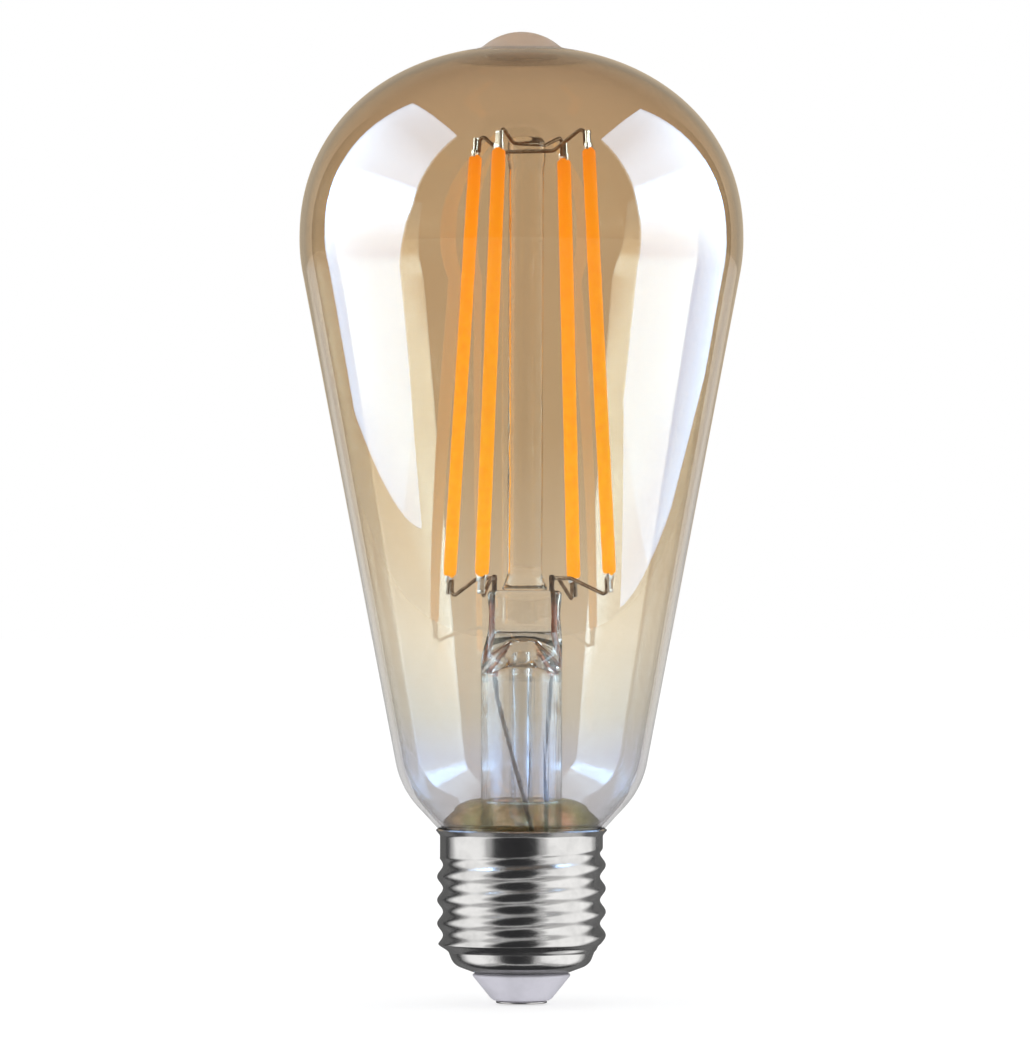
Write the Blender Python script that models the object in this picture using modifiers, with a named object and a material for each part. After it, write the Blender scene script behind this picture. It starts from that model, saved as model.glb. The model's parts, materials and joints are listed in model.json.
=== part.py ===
"""Smart LED filament lamp: teardrop glass on an E27 screw cap, built as separate parts.

The frame's origin is the centre of the bottom contact's face. +Z runs up the lamp's axis to the tip of
the glass, and -Y is the front. Lengths are written in millimetres and scaled by MM when a mesh is made.
Run with: blender --background --python part.py
"""

import math

import bmesh
import bpy
from mathutils import Matrix, Vector

MM = 0.001
LAMP = "smart_light_bulb"

# Driving dimensions, in millimetres.
LAMP_LENGTH = 150.5
GLASS_DIAMETER = 68.8
GLASS_WALL = 0.9
DOME_FOOT, DOME_RISE, DOME_POWER = 118.4, 29.9, 2.15
TIP_RADIUS = 6.3
NECK_RADIUS = 11.4
NECK_END = 18.7

THREAD_PITCH = 25.4 / 7
THREAD_DEPTH = 0.9
THREAD_MEAN_RADIUS = 12.63
THREAD_CREST_HEIGHT = 21.4  # where the topmost crest crosses +X
SHELL_WALL = 0.35
RIM_HEIGHT = 26.8

STEM_RADIUS = 6.3
STEM_WALL = 0.9
PRESS_START, PRESS_FULL, PRESS_TOP = 52.5, 58.0, 64.0
PRESS_HALF_WIDTH, PRESS_HALF_DEPTH, PRESS_SHIFT = 5.8, 2.3, 0.5
ROD_RADIUS = 2.7
ROD_TOP = 134.3
ROD_LEAN = 0.3  # how far the rod's top stands from its foot along +X

COAT_LENGTH = 66.2
COAT_WIDTH, COAT_DEPTH = 2.2, 2.0
STRIP_WIDTH, STRIP_DEPTH = 1.2, 0.35
TAB_LENGTH = 2.6
FILAMENT_ANGLES = (150, 240, 60, 330)  # degrees round the axis, from +X
FILAMENT_LIFTS = (0.0, 0.3, -0.4, 0.5)  # the mount is hand fitted, so the four differ a little
FILAMENT_MIDDLE = 98.9
TOP_RING_RADIUS, TOP_RING_SHIFT = 10.1, 1.6
BOTTOM_RING_RADIUS, BOTTOM_RING_SHIFT = 14.3, 1.1

BRIDGES = ((0, 3, 132.0), (1, 2, 133.1))  # two filaments, and the height where their wire crosses the rod

LEAD_RADIUS = 0.42
ARM_RADIUS = 0.3
LEAD_X = (-4.2, 4.7)  # where the two lead-in wires pass through the press
LEAD_TOP = 66.4
LEAD_END = 51.0

BOARD_RADIUS = 10.9
BOARD_BOTTOM, BOARD_TOP = 15.3, 16.3

GAP = 0.1  # clearance between parts that touch on the real lamp
SIDES = 36


# ---------------------------------------------------------------------------------------------------
# Outlines


def filleted(corners, steps=4):
    """Points along a path whose corners are rounded. Each corner is (point, bend radius)."""
    points = [Vector(corners[0][0])]
    for (before, _), (corner, radius), (after, _) in zip(corners, corners[1:], corners[2:]):
        corner = Vector(corner)
        if radius == 0:
            points.append(corner)
            continue
        back = (Vector(before) - corner).normalized()
        ahead = (Vector(after) - corner).normalized()
        half = back.angle(ahead) / 2
        centre = corner + (back + ahead).normalized() * (radius / math.sin(half))
        start = corner + back * (radius / math.tan(half)) - centre
        end = corner + ahead * (radius / math.tan(half)) - centre
        points += [centre + start.slerp(end, k / steps).normalized() * radius for k in range(steps + 1)]
    return points + [Vector(corners[-1][0])]


def inset(outline, distance):
    """The outline moved inwards, to the right of an outline that runs down its outer side."""
    moved = []
    for i, point in enumerate(outline):
        along = outline[min(i + 1, len(outline) - 1)] - outline[max(i - 1, 0)]
        moved.append(point + Vector((along.y, -along.x)).normalized() * distance)
    return moved


def ease(value, start, end):
    """0 before start, 1 after end, smooth between them."""
    share = min(1.0, max(0.0, (value - start) / (end - start)))
    return share * share * (3 - 2 * share)


def dome_height(radius):
    """How high the glass's rounded top stands at that radius: it is a superellipse."""
    share = (radius / (GLASS_DIAMETER / 2)) ** DOME_POWER
    return DOME_FOOT + DOME_RISE * (1 - share) ** (1 / DOME_POWER)


def dome_outline(steps=8):
    """The glass's rounded top, from its apex down to the widest place."""
    points = []
    for k in range(steps):
        radius = GLASS_DIAMETER / 2 * math.sin(math.pi / 2 * k / steps) ** (2 / DOME_POWER)
        points.append(Vector((radius, dome_height(radius))))
    return points + [Vector((GLASS_DIAMETER / 2, DOME_FOOT))]


def side_outline():
    """The glass from its widest place down the cone, round the shoulder and down the neck."""
    return filleted(
        [
            ((GLASS_DIAMETER / 2, DOME_FOOT), 0),
            ((GLASS_DIAMETER / 2, 115.7), 28),
            ((18.75, 33.3), 14),
            ((NECK_RADIUS, 25.4), 2.5),
            ((NECK_RADIUS, NECK_END), 0),
        ]
    )


def tip_outline(steps=4):
    """The low round bead on top of the glass, where it was drawn off."""
    edge = 2 * math.atan((LAMP_LENGTH - dome_height(TIP_RADIUS)) / TIP_RADIUS)
    bend = TIP_RADIUS / math.sin(edge)
    turns = [edge * k / steps for k in range(steps + 1)]
    return [Vector((bend * math.sin(a), LAMP_LENGTH - bend * (1 - math.cos(a)))) for a in turns]


def shell_outline():
    """The screw shell's outer side at its mean radius, from the rim down to the insulator."""
    rows_per_pitch = 5
    top = filleted(
        [((13.3, RIM_HEIGHT), 0), ((THREAD_MEAN_RADIUS, 26.0), 0.6), ((THREAD_MEAN_RADIUS, 24.4), 0)],
        steps=2,
    )
    row = THREAD_PITCH / rows_per_pitch
    rows = [Vector((THREAD_MEAN_RADIUS, 24.4 - row * k)) for k in range(1, int(15 / row))]
    bottom = filleted(
        [
            ((THREAD_MEAN_RADIUS, 9.5), 0),
            ((THREAD_MEAN_RADIUS, 9.2), 0.3),
            ((11.3, 7.9), 0.3),
            ((10.55, 5.95), 2.4),
            ((7.35, 4.75), 0),
        ],
        steps=3,
    )
    return top + rows + bottom


def thread_rise(angle, height):
    """How far the rolled, right-hand thread stands out from the mean radius."""
    turn = 2 * math.pi * (height - THREAD_CREST_HEIGHT) / THREAD_PITCH - angle
    rise = THREAD_DEPTH / 2 * math.cos(turn)
    if height > THREAD_CREST_HEIGHT + THREAD_PITCH / 4:  # only the groove runs up to the collar
        rise = min(rise, 0.0)
    return rise * ease(height, 8.0, 9.2) * (1 - ease(height, 23.2, 24.3))


# ---------------------------------------------------------------------------------------------------
# Making objects


def start_scene():
    for obj in list(bpy.data.objects):
        bpy.data.objects.remove(obj)
    for name in (LAMP, "cutters"):
        bpy.context.scene.collection.children.link(bpy.data.collections.new(name))


def material(name, colour, roughness, metallic=0.0, transmission=0.0):
    """The Principled material of that name, made once."""
    if name not in bpy.data.materials:
        made = bpy.data.materials.new(name)
        made.use_nodes = True
        shader = made.node_tree.nodes["Principled BSDF"]
        shader.inputs["Base Color"].default_value = (*colour, 1)
        shader.inputs["Roughness"].default_value = roughness
        shader.inputs["Metallic"].default_value = metallic
        shader.inputs["Transmission Weight"].default_value = transmission
    return bpy.data.materials[name]


def amber_glass():
    return material("amber_glass", (0.78, 0.60, 0.36), 0.02, transmission=1)


def clear_glass():
    return material("clear_glass", (0.93, 0.94, 0.94), 0.03, transmission=1)


def nickel():
    return material("nickel_plate", (0.72, 0.71, 0.69), 0.16, metallic=1)


def dark_wire():
    return material("oxidised_wire", (0.24, 0.17, 0.13), 0.42, metallic=1)


def copper():
    return material("tinned_copper", (0.66, 0.52, 0.42), 0.35, metallic=1)


def white_plastic():
    return material("white_insulator", (0.84, 0.84, 0.87), 0.38)


def liner_plastic():
    return material("liner_plastic", (0.80, 0.79, 0.74), 0.5)


def cement():
    return material("basing_cement", (0.45, 0.38, 0.20), 0.85)


def phosphor():
    return material("phosphor_silicone", (0.95, 0.45, 0.05), 0.55)


def board():
    return material("circuit_board", (0.05, 0.22, 0.12), 0.45)


def black_epoxy():
    return material("black_epoxy", (0.03, 0.03, 0.03), 0.4)


def finish_object(obj, surface, collection=LAMP):
    obj.data.materials.append(surface)
    bpy.data.collections[collection].objects.link(obj)
    return obj


def shade(mesh):
    mesh.shade_smooth()
    mesh.set_sharp_from_angle(angle=math.radians(40))


def turned(name, outline, surface, ring=False, sides=SIDES):
    """A turned solid. The outline runs down its outer side, and a ring's outline closes on itself."""
    mesh = bpy.data.meshes.new(name)
    count = len(outline)
    edges = [(i, (i + 1) % count) for i in range(count if ring else count - 1)]
    mesh.from_pydata([(r * MM, 0, z * MM) for r, z in outline], edges, [])
    obj = finish_object(bpy.data.objects.new(name, mesh), surface)
    screw = obj.modifiers.new("turn", "SCREW")
    screw.steps = screw.render_steps = sides
    screw.use_merge_vertices = True
    screw.merge_threshold = 1e-6
    screw.use_smooth_shade = True
    return obj


def frozen(obj):
    """The object with its modifiers or curve made into a plain mesh of the same name and place."""
    bpy.context.view_layer.update()
    graph = bpy.context.evaluated_depsgraph_get()
    mesh = bpy.data.meshes.new_from_object(obj.evaluated_get(graph))
    name, place, collections = obj.name, obj.matrix_world.copy(), list(obj.users_collection)
    bpy.data.objects.remove(obj)
    welder = bmesh.new()
    welder.from_mesh(mesh)
    bmesh.ops.remove_doubles(welder, verts=welder.verts, dist=1e-6)
    welder.to_mesh(mesh)
    welder.free()
    made = bpy.data.objects.new(name, mesh)
    made.matrix_world = place
    for collection in collections:
        collection.objects.link(made)
    return made


def box(name, size, centre, surface, bevel=0.12):
    """A block with eased edges, standing square to the frame."""
    mesh = bpy.data.meshes.new(name)
    cube = bmesh.new()
    bmesh.ops.create_cube(cube, size=1, matrix=Matrix.Diagonal((*[side * MM for side in size], 1)))
    cube.to_mesh(mesh)
    cube.free()
    obj = finish_object(bpy.data.objects.new(name, mesh), surface)
    obj.location = Vector(centre) * MM
    if bevel:
        eased = obj.modifiers.new("eased_edges", "BEVEL")
        eased.width = bevel * MM
        eased.segments = 1
    return obj


def wire(name, points, radius, surface, collection=LAMP):
    """A round wire along a path of points."""
    curve = bpy.data.curves.new(name, "CURVE")
    curve.dimensions = "3D"
    curve.bevel_depth = radius * MM
    curve.bevel_resolution = 2
    curve.use_fill_caps = True
    spline = curve.splines.new("POLY")
    spline.points.add(len(points) - 1)
    for spot, point in zip(spline.points, points):
        spot.co = (*(Vector(point) * MM), 1)
    return finish_object(bpy.data.objects.new(name, curve), surface, collection)


def bent_wire(name, corners, radius, surface):
    """A wire formed with rounded bends: each corner is (point, bend radius)."""
    return wire(name, filleted(corners, steps=3), radius, surface)


def cut_channel(target, name, points, radius):
    """Cuts a round channel for a wire through the target, which is a mesh object."""
    cutter = frozen(wire(name, points, radius, black_epoxy(), collection="cutters"))
    cutter.hide_render = True
    cutter.display_type = "WIRE"
    cut = target.modifiers.new(name, "BOOLEAN")
    cut.operation = "DIFFERENCE"
    cut.solver = "EXACT"
    cut.object = cutter


# ---------------------------------------------------------------------------------------------------
# Glass


def glass_envelope():
    """The blown glass: one wall from the tip to the open end of the neck."""
    dome, side = dome_outline(), side_outline()
    outer = tip_outline() + [point for point in dome[:-1] if point.x > TIP_RADIUS] + side
    inner = inset(dome[:-1] + side, GLASS_WALL)
    inner[0].x = 0.0
    turned("glass_envelope", outer + inner[::-1], amber_glass())


def press_squeeze(x, y, z):
    """The stem tube's section above PRESS_START, squeezed by the press into a flat block."""
    share = ease(z, PRESS_START, PRESS_FULL)
    wide = 1 + share * (PRESS_HALF_WIDTH / STEM_RADIUS - 1)
    deep = 1 + share * (PRESS_HALF_DEPTH / STEM_RADIUS - 1)
    return x * wide + share * PRESS_SHIFT, y * deep, z


def glass_stem():
    """The flared stem tube, with the press that seals the lead-in wires at its top."""
    squeeze_rows = 4
    row = (PRESS_FULL - PRESS_START) / squeeze_rows
    flare_end, flare_bottom = NECK_RADIUS - GLASS_WALL - GAP, NECK_END + GAP
    block = [((0, PRESS_TOP), 0), ((STEM_RADIUS, PRESS_TOP), 0.8), ((STEM_RADIUS, PRESS_FULL), 0)]
    tube = [((STEM_RADIUS, PRESS_START), 0), ((STEM_RADIUS, 24.5), 9), ((flare_end, flare_bottom), 0)]
    shoulder = [Vector((STEM_RADIUS, PRESS_FULL - row * k)) for k in range(1, squeeze_rows)]
    outer = filleted(block, steps=2) + shoulder + filleted(tube)
    cavity = filleted(
        [
            ((flare_end - STEM_WALL, flare_bottom), 0),
            ((STEM_RADIUS - STEM_WALL, 24.2), 9.9),
            ((STEM_RADIUS - STEM_WALL, 53.5), 2.0),
            ((0, 55.5), 0),
        ]
    )
    stem = frozen(turned("glass_stem", outer + cavity, clear_glass(), sides=28))
    for vertex in stem.data.vertices:
        vertex.co = Vector(press_squeeze(*(vertex.co / MM))) * MM
    shade(stem.data)
    for side, x in zip(("left", "right"), LEAD_X):
        cut_channel(stem, f"press_channel_{side}", [(x, 0, 50), (x, 0, 68)], LEAD_RADIUS + GAP)


def exhaust_tube():
    """The thin tube inside the stem that the lamp was filled through, tipped off at its lower end."""
    radius, bore, tip, top = 1.9, 1.0, 27.5, 54.0
    outline = [(0, tip + 2.4), (bore, tip + 3.4), (bore, top), (radius, top)]
    outline += filleted([((radius, top - 5), 0), ((radius, tip + 1.6), 2.0), ((0, tip), 0)], steps=3)
    turned("exhaust_tube", outline, clear_glass(), sides=16)


# ---------------------------------------------------------------------------------------------------
# Filaments and their wires


def ring_point(angle, top):
    """Where a filament's end lies, level with the frame's XY plane."""
    radius = TOP_RING_RADIUS if top else BOTTOM_RING_RADIUS
    shift = TOP_RING_SHIFT if top else BOTTOM_RING_SHIFT
    turn = math.radians(angle)
    return Vector((shift + radius * math.cos(turn), radius * math.sin(turn), 0))


def filament_line(index):
    """The middle of a filament, its direction upwards, and the direction that its strip faces."""
    angle = FILAMENT_ANGLES[index]
    low, high = ring_point(angle, top=False), ring_point(angle, top=True)
    low.z, high.z = -COAT_LENGTH / 2, COAT_LENGTH / 2
    middle = (low + high) / 2 + Vector((0, 0, FILAMENT_MIDDLE + FILAMENT_LIFTS[index]))
    up = (high - low).normalized()
    turn = math.radians(angle)
    outward = Vector((math.cos(turn), math.sin(turn), 0))
    facing = (outward - up * outward.dot(up)).normalized()
    return middle, up, facing


def stand(obj, index):
    """Places an object, modelled along Z and facing -Y, as the filament of that index."""
    middle, up, facing = filament_line(index)
    across = up.cross(facing)
    turn = Matrix((across, -facing, up)).transposed()
    obj.matrix_world = Matrix.Translation(middle * MM) @ turn.to_4x4()
    return obj


def filament_coat(index):
    """The phosphor silicone: a rounded bar, open along its middle for the strip."""
    name = f"filament_{index + 1}_phosphor"
    curve = bpy.data.curves.new(name, "CURVE")
    curve.dimensions = "2D"
    curve.fill_mode = "BOTH"
    curve.extrude = COAT_LENGTH / 2 * MM
    turns = [math.pi / 8 * (k + 0.5) for k in range(16)]
    skin = [(COAT_WIDTH / 2 * math.cos(turn), COAT_DEPTH / 2 * math.sin(turn)) for turn in turns]
    across, deep = STRIP_WIDTH / 2 + GAP, STRIP_DEPTH / 2 + GAP
    slot = [(across, deep), (-across, deep), (-across, -deep), (across, -deep)]
    for section in (skin, slot):
        spline = curve.splines.new("POLY")
        spline.use_cyclic_u = True
        spline.points.add(len(section) - 1)
        for spot, (x, y) in zip(spline.points, section):
            spot.co = (x * MM, y * MM, 0, 1)
    stand(finish_object(bpy.data.objects.new(name, curve), phosphor()), index)


def filament_strip(index):
    """The strip that carries the LED chips. Its bare ends are the filament's two terminals."""
    size = (STRIP_WIDTH, STRIP_DEPTH, COAT_LENGTH + 2 * TAB_LENGTH)
    name = f"filament_{index + 1}_strip"
    stand(box(name, size, (0, 0, 0), nickel(), bevel=0), index)


def behind_tab(index, along):
    """A point on the line just inside a filament's strip, that far up from the filament's middle."""
    middle, up, facing = filament_line(index)
    return middle + up * along - facing * (STRIP_DEPTH / 2 + ARM_RADIUS + GAP / 2)


def rod_axis(height):
    """The glass rod's axis at that height: it leans a little."""
    share = (height - PRESS_TOP) / (ROD_TOP - PRESS_TOP)
    return Vector((PRESS_SHIFT + ROD_LEAN * share, 0, height))


def bridge_path(near, far, height):
    """Along one filament's upper tab, over its end, through the rod's head and down another's tab."""
    corners = []
    for index in (near, far):
        tab_end = behind_tab(index, COAT_LENGTH / 2 + 0.4)
        hook = behind_tab(index, COAT_LENGTH / 2 + TAB_LENGTH + 0.7)
        head = rod_axis(height)
        outward = ((hook - head) * Vector((1, 1, 0))).normalized()
        leave = head + outward * (ROD_RADIUS + 2.0)
        side = [(tab_end, 0), (hook, 0.7), (leave, 1.5)]
        corners += side if index == near else side[::-1]
    return filleted(corners, steps=3)


def centre_rod():
    """The glass rod that holds the upper ends of the filaments, with its rounded head."""
    foot = PRESS_TOP + GAP
    outline = filleted(
        [
            ((0, ROD_TOP), 0),
            ((ROD_RADIUS + 0.25, ROD_TOP), 1.2),
            ((ROD_RADIUS + 0.25, 130.6), 1.0),
            ((ROD_RADIUS, 129.2), 1.0),
            ((ROD_RADIUS, foot), 0.4),
            ((0, foot), 0),
        ],
        steps=2,
    )
    rod = frozen(turned("centre_rod", outline, clear_glass(), sides=16))
    for vertex in rod.data.vertices:
        vertex.co += rod_axis(vertex.co.z / MM) * Vector((1, 0, 0)) * MM
    shade(rod.data)
    for near, far, height in BRIDGES:
        path = bridge_path(near, far, height)
        through = path[len(path) // 2 - 1 : len(path) // 2 + 1]
        cut_channel(rod, f"head_channel_{near + 1}_{far + 1}", through, ARM_RADIUS + GAP)


def bridge_wires():
    """The wires over the top: each puts a filament fed from the left in series with one from the right."""
    for near, far, height in BRIDGES:
        wire(f"bridge_wire_{near + 1}_{far + 1}", bridge_path(near, far, height), ARM_RADIUS, dark_wire())


def lead_of(index):
    """Which of the two lead-in wires feeds this filament: 0 on the left, 1 on the right."""
    return 0 if ring_point(FILAMENT_ANGLES[index], top=False).x < 0 else 1


def lead_in_wires():
    """The two stiff wires that pass through the press and stand up beside the rod."""
    for side, x in zip(("left", "right"), LEAD_X):
        wire(f"lead_in_wire_{side}", [(x, 0, LEAD_END), (x, 0, LEAD_TOP)], LEAD_RADIUS, dark_wire())


def lower_arms():
    """The wires from the lead-in wires out to the lower ends of the filaments."""
    for index in range(len(FILAMENT_ANGLES)):
        side = lead_of(index)
        lead = Vector((LEAD_X[side], 0, LEAD_TOP - 0.5))
        tab_end = behind_tab(index, -COAT_LENGTH / 2 - 0.4)
        hook = behind_tab(index, -COAT_LENGTH / 2 - TAB_LENGTH - 0.5)
        outward = ((hook - lead) * Vector((1, 1, 0))).normalized()
        start = lead + outward * (LEAD_RADIUS + ARM_RADIUS + GAP)
        shoulder = start + outward * 3.0
        bent_wire(
            f"lower_arm_{index + 1}",
            [(start, 0), (shoulder, 1.0), (hook, 0.7), (tab_end, 0)],
            ARM_RADIUS,
            dark_wire(),
        )


def outer_leads():
    """The flexible leads from the press down through the stem to the driver board."""
    top, board_top = LEAD_END - 2 * GAP, BOARD_TOP + GAP
    left, right = LEAD_X
    bends = {
        "left": [(left, 0, top), (-3.6, -1.0, 47), (-1.0, -3.0, 37), (1.6, -3.4, 27), (2.4, -3.6, 21)],
        "right": [(right, 0, top), (4.4, 0.6, 46), (3.9, 1.6, 38), (3.8, 0.6, 30), (4.2, -0.8, 23)],
    }
    for side, points in bends.items():
        corners = [(point, 3.0) for point in points]
        corners.append(((points[-1][0], points[-1][1], board_top), 0))
        bent_wire(f"outer_lead_{side}", corners, 0.34, copper())


# ---------------------------------------------------------------------------------------------------
# Cap


def cap_shell():
    """The E27 shell, rolled from sheet, so that its inside follows the thread too."""
    outer = shell_outline()
    inner = inset(outer, SHELL_WALL)
    shell = frozen(turned("cap_shell", outer + inner[::-1], nickel(), ring=True, sides=32))
    for vertex in shell.data.vertices:
        x, y, z = vertex.co / MM
        angle, radius = math.atan2(y, x), math.hypot(x, y)
        share = 1 + thread_rise(angle, z) / radius
        vertex.co = Vector((x * share, y * share, z)) * MM
    shade(shell.data)


def cap_insulator():
    """The white insulator between the shell and the bottom contact, with its hole for the rivet."""
    outline = [
        (8.4, 7.3),
        (8.4, 6.3),
        (7.05, 5.6),
        (7.05, 4.6),
        (7.8, 4.5),
        (4.75, 0.75),
        (4.3, 0.45),
        (0.95, 0.45),
        (0.95, 7.3),
    ]
    turned("cap_insulator", outline, white_plastic(), ring=True)


def centre_contact():
    """The bottom contact: a flat disc with a rivet up through the insulator."""
    turned(
        "centre_contact",
        [(0, 8.2), (0.8, 8.2), (0.8, 0.35), (3.8, 0.35), (4.0, 0.2), (4.0, 0.0), (0, 0.0)],
        nickel(),
        sides=24,
    )


def neck_cement():
    """The ring of cement that holds the glass neck in the shell's collar."""
    inner, outer, root = NECK_RADIUS + GAP, 12.05, 11.7
    outline = [(outer, 25.5), (outer, 24.6), (root, 24.0), (root, 20.4), (inner, 20.4), (inner, 24.3)]
    turned("neck_cement", outline, cement(), ring=True)


def insulating_liner():
    """The plastic sleeve that keeps the driver's parts off the shell, and carries the board."""
    outer, inner, ledge, top = 11.6, 11.15, 10.2, BOARD_BOTTOM - 2 * GAP
    outside = [(outer, top), (outer, 9.0), (10.2, 7.9)]
    inside = [(9.9, 8.2), (inner, 9.2), (inner, top - 1.5), (ledge, top - 0.7), (ledge, top)]
    turned("insulating_liner", outside + inside, liner_plastic(), ring=True)


# ---------------------------------------------------------------------------------------------------
# Driver and wireless module


def driver_board():
    edge = [(BOARD_RADIUS, BOARD_TOP), (BOARD_RADIUS, BOARD_BOTTOM)]
    turned("driver_board", [(0, BOARD_TOP), *edge, (0, BOARD_BOTTOM)], board())


def placed(obj, x, y):
    obj.location.x, obj.location.y = x * MM, y * MM
    return obj


def bulk_capacitor():
    """An electrolytic can with its crimped groove, hanging under the board."""
    top = BOARD_BOTTOM - GAP
    outline = filleted(
        [
            ((0, top), 0),
            ((3.15, top), 0.3),
            ((3.15, top - 0.9), 0.2),
            ((2.8, top - 1.2), 0.2),
            ((3.15, top - 1.5), 0.2),
            ((3.15, 8.6), 0.4),
            ((0, 8.6), 0),
        ],
        steps=1,
    )
    surface = material("capacitor_sleeve", (0.05, 0.07, 0.16), 0.35)
    placed(turned("bulk_capacitor", outline, surface, sides=20), -5.4, 1.6)


def inductor():
    """A drum-core choke: the ferrite drum and the copper wound on its waist."""
    x, y, top, foot = 5.0, 4.2, BOARD_BOTTOM - GAP, 9.8
    flange, waist, thick = 2.6, 1.2, 0.9
    ferrite = material("ferrite", (0.09, 0.09, 0.09), 0.6)
    upper = [(0, top), (flange, top), (flange, top - thick), (waist, top - thick)]
    lower = [(waist, foot + thick), (flange, foot + thick), (flange, foot), (0, foot)]
    placed(turned("inductor_core", upper + lower, ferrite, sides=20), x, y)
    inside, outside = waist + GAP, flange - 0.25
    high, low = top - thick - GAP, foot + thick + GAP
    coil = [(outside, high), (outside, low), (inside, low), (inside, high)]
    winding = material("magnet_wire", (0.62, 0.26, 0.10), 0.3, metallic=1)
    placed(turned("inductor_winding", coil, winding, ring=True, sides=20), x, y)


def fusible_resistor():
    """The resistor in line with the bottom contact, and the wire between them."""
    x, y, low, high = 5.2, -4.4, 10.2, 14.6
    upper = [(0, high), (1.0, high), (1.25, high - 0.5), (1.05, high - 1.1)]
    lower = [(1.05, low + 1.1), (1.25, low + 0.5), (1.0, low), (0, low)]
    surface = material("resistor_body", (0.30, 0.42, 0.52), 0.5)
    placed(turned("fusible_resistor", upper + lower, surface, sides=16), x, y)
    wire("resistor_pin", [(x, y, high + GAP), (x, y, BOARD_BOTTOM - GAP)], 0.3, copper())
    corners = [((0, 0, 8.3), 0), ((0, 0, 9.2), 0.5), ((x, y, 8.9), 0.6), ((x, y, low - GAP), 0)]
    bent_wire("centre_wire", corners, 0.3, copper())


def shell_wire():
    """The wire from the board over its edge, pressed against the inside of the shell."""
    corners = [
        ((-9.2, -1.5, BOARD_TOP + GAP), 0),
        ((-9.2, -1.5, 17.5), 0.4),
        ((-11.4, -1.5, 17.5), 0.4),
        ((-11.4, -1.5, 15.4), 0),
    ]
    bent_wire("shell_wire", corners, 0.22, copper())


def surface_parts():
    """The flat parts soldered to the board."""
    below, above = BOARD_BOTTOM - GAP, BOARD_TOP + GAP
    box("bridge_rectifier", (4.7, 3.9, 1.5), (-0.6, -6.8, below - 0.75), black_epoxy())
    box("driver_chip", (3.9, 4.9, 1.5), (-6.3, 2.8, above + 0.75), black_epoxy())
    brown = material("film_capacitor", (0.55, 0.33, 0.12), 0.5)
    box("input_capacitor", (2.0, 3.2, 1.4), (7.4, 2.8, above + 0.7), brown)


def wireless_module():
    """The upright radio board inside the flare: header, shield can and printed aerial."""
    foot, y, half_board = BOARD_TOP + GAP, 1.8, 0.4
    header = material("header_plastic", (0.05, 0.05, 0.05), 0.5)
    box("module_header", (7.6, 2.0, 1.6), (0, y, foot + 0.8), header)
    low = foot + 1.6 + GAP
    box("wireless_board", (8.0, 2 * half_board, 7.0), (0, y, low + 3.5), board(), bevel=0)
    box("module_shield", (6.4, 1.3, 4.2), (0, y - half_board - GAP - 0.65, low + 2.5), nickel())
    bars, low_bend, high_bend, pitch, radius = 6, low + 5.2, low + 6.6, 1.1, 0.15
    points = []
    for k in range(bars):
        ends = (low_bend, high_bend) if k % 2 == 0 else (high_bend, low_bend)
        points += [((k - (bars - 1) / 2) * pitch, y - half_board - GAP - radius, end) for end in ends]
    wire("module_aerial", points, radius, copper())


def main():
    start_scene()
    glass_envelope()
    glass_stem()
    exhaust_tube()
    centre_rod()
    for index in range(len(FILAMENT_ANGLES)):
        filament_coat(index)
        filament_strip(index)
    bridge_wires()
    lead_in_wires()
    lower_arms()
    outer_leads()
    cap_shell()
    cap_insulator()
    centre_contact()
    neck_cement()
    insulating_liner()
    driver_board()
    bulk_capacitor()
    inductor()
    fusible_resistor()
    shell_wire()
    surface_parts()
    wireless_module()


main()
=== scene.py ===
"""Looks for the smart LED filament lamp: glass, filaments, wires, screw cap and studio.

Lengths are in millimetres and are scaled by MM when a mesh is made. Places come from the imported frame.
The lights other than the cards, and the camera's distance, are in metres.
The front is -Y, +X is to the right and +Z is up the lamp's axis.
"""

import json
import math

import bmesh
import bpy
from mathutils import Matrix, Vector, noise

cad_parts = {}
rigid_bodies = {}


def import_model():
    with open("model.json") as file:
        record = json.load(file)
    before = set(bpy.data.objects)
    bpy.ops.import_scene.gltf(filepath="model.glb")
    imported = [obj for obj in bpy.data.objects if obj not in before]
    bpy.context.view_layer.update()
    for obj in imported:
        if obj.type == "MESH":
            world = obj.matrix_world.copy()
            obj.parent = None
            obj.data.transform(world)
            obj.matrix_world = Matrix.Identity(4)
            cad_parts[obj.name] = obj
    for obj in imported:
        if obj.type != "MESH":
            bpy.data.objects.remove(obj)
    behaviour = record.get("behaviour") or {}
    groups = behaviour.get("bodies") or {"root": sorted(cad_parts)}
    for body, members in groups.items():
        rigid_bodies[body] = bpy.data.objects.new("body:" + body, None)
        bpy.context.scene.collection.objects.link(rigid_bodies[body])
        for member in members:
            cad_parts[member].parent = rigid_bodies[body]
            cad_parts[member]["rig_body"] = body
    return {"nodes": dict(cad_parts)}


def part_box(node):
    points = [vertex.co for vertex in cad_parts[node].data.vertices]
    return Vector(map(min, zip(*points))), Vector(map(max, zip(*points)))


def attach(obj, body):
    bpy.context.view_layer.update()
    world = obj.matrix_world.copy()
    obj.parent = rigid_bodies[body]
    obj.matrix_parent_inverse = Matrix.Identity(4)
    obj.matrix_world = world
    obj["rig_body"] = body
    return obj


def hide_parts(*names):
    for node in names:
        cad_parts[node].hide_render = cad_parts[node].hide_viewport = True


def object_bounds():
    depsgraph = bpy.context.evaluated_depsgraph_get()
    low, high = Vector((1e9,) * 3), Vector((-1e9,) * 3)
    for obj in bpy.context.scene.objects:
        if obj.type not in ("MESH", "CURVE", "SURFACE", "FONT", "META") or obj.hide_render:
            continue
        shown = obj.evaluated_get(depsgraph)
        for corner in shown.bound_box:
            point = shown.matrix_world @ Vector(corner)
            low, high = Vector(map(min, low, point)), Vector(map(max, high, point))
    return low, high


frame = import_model()
CAD_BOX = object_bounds()
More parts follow.
